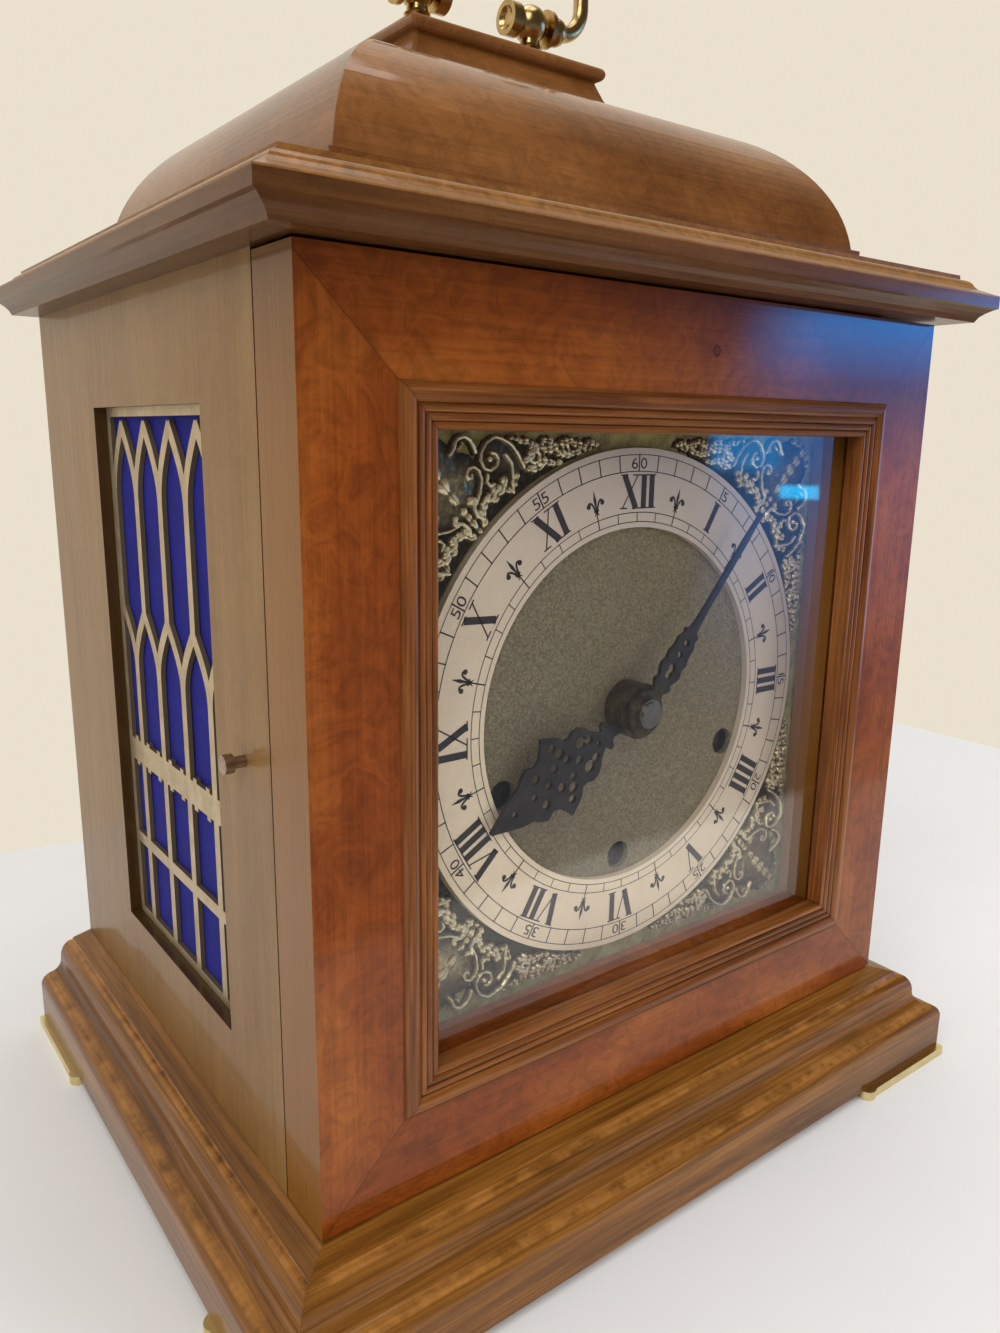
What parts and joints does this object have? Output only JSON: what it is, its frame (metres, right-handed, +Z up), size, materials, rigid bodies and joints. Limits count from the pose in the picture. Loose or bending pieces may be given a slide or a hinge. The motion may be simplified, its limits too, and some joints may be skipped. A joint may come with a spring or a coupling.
{
  "type": "chiming bracket clock",
  "caption": "Walnut bracket clock with a caddy top, brass carrying handle, glazed front door, silvered chapter ring, cast corner mounts, blue-backed side frets and a chiming movement.",
  "frame": {"origin": "centre of the overall box at the foot level, on the surface that the clock stands on", "axes": "+X to the right as seen from the front, +Y from the front door to the back, +Z up"},
  "size_m": [0.2868, 0.2398, 0.4263],
  "materials": {
    "plinth_wood": "glossy",
    "side_veneer": "glossy",
    "door_veneer": "glossy",
    "bead_wood": "glossy",
    "cornice_wood": "glossy",
    "caddy_wood": "glossy",
    "inner_wood": "satin",
    "feet_brass": "satin",
    "handle_brass": "polished",
    "hinge_brass": "satin",
    "button_brass": "satin",
    "fret_brass": "satin",
    "fret_cloth": "matte",
    "dial_brass": "polished",
    "silvered_ring": "satin",
    "cast_brass": "satin",
    "dark_steel": "satin",
    "nut_steel": "polished",
    "movement_brass": "satin",
    "movement_steel": "satin",
    "block_iron": "matte",
    "glass": "clear"
  },
  "bodies": {
    "case": {"base_board": "plinth_wood", "base_moulding": "plinth_wood", "bracket_feet": "feet_brass", "case_side_left": "side_veneer", "case_side_right": "side_veneer", "case_top": "inner_wood", "cornice_moulding": "cornice_wood", "caddy_plate": "caddy_wood", "caddy_dome": "caddy_wood", "top_pedestal": "caddy_wood", "handle_posts": "handle_brass", "dial_surround": "inner_wood", "seat_board": "inner_wood", "case_hinge_leaves": "hinge_brass", "side_frets": "fret_brass", "fret_cloths": "fret_cloth", "dial_plate": "dial_brass", "chapter_ring": "silvered_ring", "spandrels": "cast_brass", "front_plate": "movement_brass", "back_plate": "movement_brass", "plate_pillars": "movement_brass", "balance_cock": "movement_brass", "hammer_arbor": "movement_steel", "chime_block": "block_iron", "chime_rods": "movement_steel", "back_door_stops": "inner_wood"},
    "front_door": {"door_frame": "door_veneer", "glazing_bead": "bead_wood", "door_glass": "glass", "front_door_hinge_leaves": "hinge_brass", "door_catch_pin": "hinge_brass"},
    "rear_door": {"back_door": "side_veneer", "back_door_hinge_leaves": "hinge_brass"},
    "rear_knob": {"back_door_knob": "hinge_brass"},
    "release": {"door_release_button": "button_brass"},
    "handle": {"handle_bail": "handle_brass"},
    "centre": {"centre_wheel": "movement_brass", "cannon_pinion": "movement_brass", "minute_hand": "dark_steel", "hand_nut": "nut_steel"},
    "hour": {"hour_wheel": "movement_brass", "hour_hand": "dark_steel"},
    "motion": {"minute_wheel": "movement_brass"},
    "second": {"second_wheel": "movement_brass"},
    "third": {"third_wheel": "movement_brass"},
    "escape": {"escape_wheel": "movement_brass"},
    "lever": {"pallet_lever": "movement_steel"},
    "balance": {"balance_wheel": "movement_brass"},
    "going_barrel": {"time_barrel": "movement_brass"},
    "time_winding": {"time_winding_arbor": "movement_steel"},
    "strike_winding": {"strike_winding_arbor": "movement_steel"},
    "chime_winding": {"chime_winding_arbor": "movement_steel"},
    "strike": {"strike_barrel": "movement_brass"},
    "chime": {"chime_barrel": "movement_brass"},
    "drum": {"chime_drum": "movement_brass"},
    "hammer_1": {"chime_hammer_1": "movement_brass"},
    "hammer_2": {"chime_hammer_2": "movement_brass"},
    "hammer_3": {"chime_hammer_3": "movement_brass"},
    "hammer_4": {"chime_hammer_4": "movement_brass"}
  },
  "joints": [
    {"name": "front_door_hinge", "type": "hinge", "parent": "case", "child": "front_door", "pos_m": [0.121, -0.07625, 0.156], "axis": [0, 0, 1], "range_deg": [0, 105]},
    {"name": "rear_door_hinge", "type": "hinge", "parent": "case", "child": "rear_door", "pos_m": [-0.1098, 0.11365, 0.156], "axis": [0, 0, 1], "range_deg": [0, 110]},
    {"name": "rear_knob_turn", "type": "hinge", "parent": "rear_door", "child": "rear_knob", "pos_m": [0.098, 0.10345, 0.1565], "axis": [0, 1, 0], "range_deg": [0, 90]},
    {"name": "release_press", "type": "slide", "parent": "case", "child": "release", "axis": [1, 0, 0], "range_m": [0, 0.003], "stiffness_N_per_m": 300},
    {"name": "handle_swing", "type": "hinge", "parent": "case", "child": "handle", "pos_m": [0, 0.00795, 0.3779], "axis": [1, 0, 0], "range_deg": [-130, 130]},
    {"name": "centre_turn", "type": "hinge", "parent": "case", "child": "centre", "pos_m": [0, -0.03655, 0.1565], "axis": [0, 1, 0], "continuous": true},
    {"name": "hour_turn", "type": "hinge", "parent": "case", "child": "hour", "pos_m": [0, -0.03655, 0.1565], "axis": [0, 1, 0], "continuous": true},
    {"name": "motion_turn", "type": "hinge", "parent": "case", "child": "motion", "pos_m": [-0.0099, -0.03655, 0.1664], "axis": [0, 1, 0], "continuous": true},
    {"name": "second_turn", "type": "hinge", "parent": "case", "child": "second", "pos_m": [0.00913, -0.03655, 0.13594], "axis": [0, 1, 0], "continuous": true},
    {"name": "third_turn", "type": "hinge", "parent": "case", "child": "third", "pos_m": [-0.01224, -0.03655, 0.17609], "axis": [0, 1, 0], "continuous": true},
    {"name": "escape_turn", "type": "hinge", "parent": "case", "child": "escape", "pos_m": [-0.0014, -0.03655, 0.19157], "axis": [0, 1, 0], "continuous": true},
    {"name": "lever_swing", "type": "hinge", "parent": "case", "child": "lever", "pos_m": [0.01042, -0.03655, 0.19366], "axis": [0, 1, 0], "range_deg": [-4, 4]},
    {"name": "balance_swing", "type": "hinge", "parent": "case", "child": "balance", "pos_m": [0.02519, -0.03655, 0.19626], "axis": [0, 1, 0], "range_deg": [-135, 135], "stiffness_Nm_per_rad": 0.0002},
    {"name": "going_barrel_turn", "type": "hinge", "parent": "case", "child": "going_barrel", "pos_m": [0, -0.03655, 0.1061], "axis": [0, 1, 0], "continuous": true},
    {"name": "time_winding_turn", "type": "hinge", "parent": "case", "child": "time_winding", "pos_m": [0, -0.03655, 0.1061], "axis": [0, 1, 0], "continuous": true},
    {"name": "strike_winding_turn", "type": "hinge", "parent": "case", "child": "strike_winding", "pos_m": [-0.048, -0.03655, 0.1365], "axis": [0, 1, 0], "continuous": true},
    {"name": "chime_winding_turn", "type": "hinge", "parent": "case", "child": "chime_winding", "pos_m": [0.048, -0.03655, 0.1365], "axis": [0, 1, 0], "continuous": true},
    {"name": "strike_barrel_turn", "type": "hinge", "parent": "case", "child": "strike", "pos_m": [-0.048, -0.03655, 0.1365], "axis": [0, 1, 0], "continuous": true},
    {"name": "chime_barrel_turn", "type": "hinge", "parent": "case", "child": "chime", "pos_m": [0.048, -0.03655, 0.1365], "axis": [0, 1, 0], "continuous": true},
    {"name": "chime_drum_turn", "type": "hinge", "parent": "case", "child": "drum", "pos_m": [0.05522, -0.03655, 0.10955], "axis": [0, 1, 0], "continuous": true},
    {"name": "hammer_1_lift", "type": "hinge", "parent": "case", "child": "hammer_1", "pos_m": [0.03, -0.00105, 0.0985], "axis": [0, 1, 0], "range_deg": [0, 12]},
    {"name": "hammer_2_lift", "type": "hinge", "parent": "case", "child": "hammer_2", "pos_m": [0.03, 0.00695, 0.0985], "axis": [0, 1, 0], "range_deg": [0, 12]},
    {"name": "hammer_3_lift", "type": "hinge", "parent": "case", "child": "hammer_3", "pos_m": [0.03, 0.01495, 0.0985], "axis": [0, 1, 0], "range_deg": [0, 12]},
    {"name": "hammer_4_lift", "type": "hinge", "parent": "case", "child": "hammer_4", "pos_m": [0.03, 0.02295, 0.0985], "axis": [0, 1, 0], "range_deg": [0, 12]}
  ],
  "couplings": [
    {"joint": "hour_turn", "follows": "centre_turn", "ratio": 0.083333},
    {"joint": "motion_turn", "follows": "centre_turn", "ratio": -0.33333},
    {"joint": "second_turn", "follows": "centre_turn", "ratio": -0.25},
    {"joint": "going_barrel_turn", "follows": "centre_turn", "ratio": 0.035714},
    {"joint": "third_turn", "follows": "centre_turn", "ratio": -6},
    {"joint": "escape_turn", "follows": "centre_turn", "ratio": 36},
    {"joint": "chime_drum_turn", "follows": "chime_barrel_turn", "ratio": -3.5}
  ]
}
